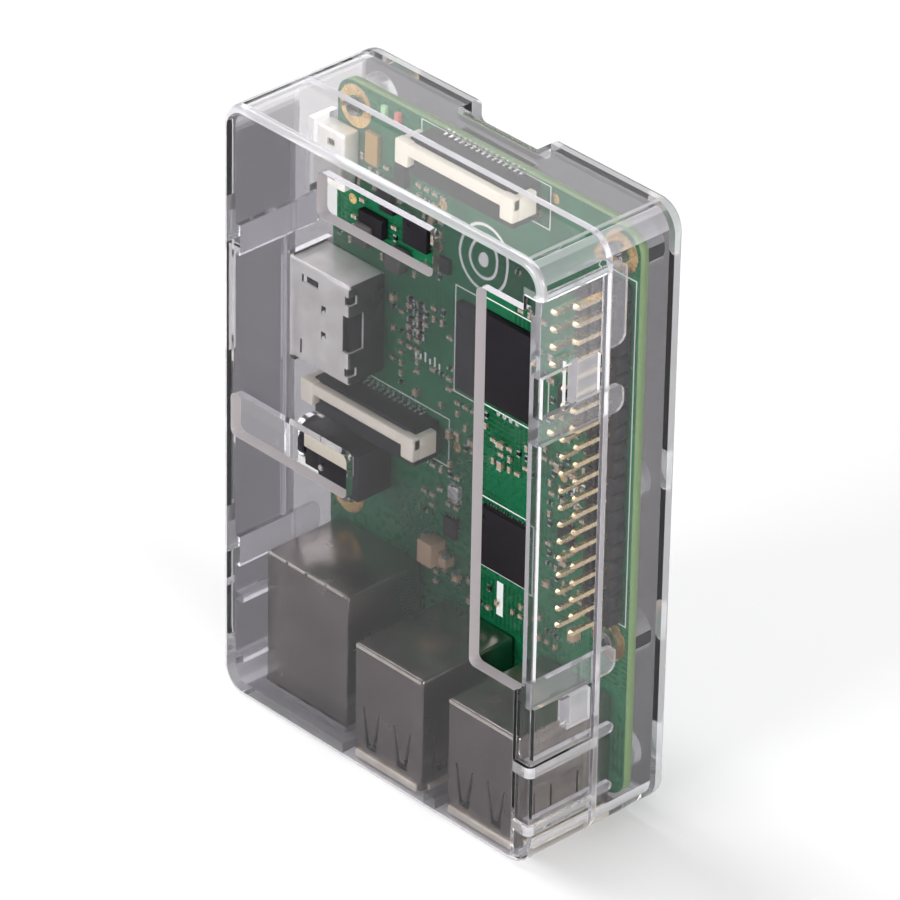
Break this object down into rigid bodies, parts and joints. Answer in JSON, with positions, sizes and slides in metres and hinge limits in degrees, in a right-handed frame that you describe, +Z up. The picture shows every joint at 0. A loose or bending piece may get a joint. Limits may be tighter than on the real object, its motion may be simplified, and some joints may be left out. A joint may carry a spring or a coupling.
{
  "type": "single board computer",
  "caption": "Credit card sized single board computer in a clear two-part snap case, with stacked USB sockets, a network socket, a video socket and a long pin header under a slot in the lid.",
  "frame": {"origin": "centre of the case's outline seen from above, on the level the case stands on: the end with the USB and network sockets", "axes": "+Z up, from the socket end to the memory card end; +X from the power and video side to the pin header side; +Y from the lid to the back of the base"},
  "size_m": [0.0598, 0.025, 0.0904],
  "materials": {
    "clear_plastic": "clear polycarbonate, faint grey, polished",
    "board_green": "satin solder mask over copper",
    "chip_black": "matt moulded epoxy",
    "socket_black": "moulded nylon, slight sheen",
    "socket_white": "moulded nylon",
    "latch_cream": "moulded nylon",
    "nickel": "nickel-plated pressed steel",
    "gold": "gold flash over brass",
    "tin": "tin-plated",
    "ferrite": "unglazed ferrite",
    "fuse_yellow": "cured polymer",
    "lamp_red": "cast epoxy",
    "lamp_green": "cast epoxy",
    "lamp_amber": "cast epoxy"
  },
  "bodies": {
    "base": {"case_base": "clear_plastic", "circuit_board": "board_green", "processor": "chip_black", "usb_network_chip": "chip_black", "power_chip": "chip_black", "power_diode": "chip_black", "power_coil": "ferrite", "core_coil": "ferrite", "bulk_capacitor": "socket_black", "network_crystal": "tin", "input_fuse": "fuse_yellow", "power_lamp": "lamp_red", "activity_lamp": "lamp_green", "header_block": "socket_black", "header_pins_inner": "gold", "header_pins_outer": "gold", "video_shell": "nickel", "video_moulding": "socket_black", "power_shell": "nickel", "power_moulding": "socket_black", "audio_body": "socket_black", "audio_contact": "tin", "network_shell": "nickel", "network_moulding": "socket_black", "network_lamp_left": "lamp_green", "network_lamp_right": "lamp_amber", "camera_connector": "socket_black", "display_connector": "socket_black", "memory_chip": "chip_black", "card_cover": "nickel", "card_tray": "socket_black", "usb_shell_1": "nickel", "usb_moulding_1": "socket_white", "usb_shell_2": "nickel", "usb_moulding_2": "socket_white"},
    "lid": {"case_lid": "clear_plastic"},
    "camera_latch": {"camera_latch": "latch_cream"},
    "display_latch": {"display_latch": "latch_cream"}
  },
  "joints": [
    {"name": "lid_lift", "type": "slide", "parent": "base", "child": "lid", "axis": [0, -1, 0], "range_m": [0, 0.03]},
    {"name": "camera_latch_lift", "type": "slide", "parent": "base", "child": "camera_latch", "axis": [0, -1, 0], "range_m": [0, 0.001]},
    {"name": "display_latch_lift", "type": "slide", "parent": "base", "child": "display_latch", "axis": [0, -1, 0], "range_m": [0, 0.001]}
  ]
}
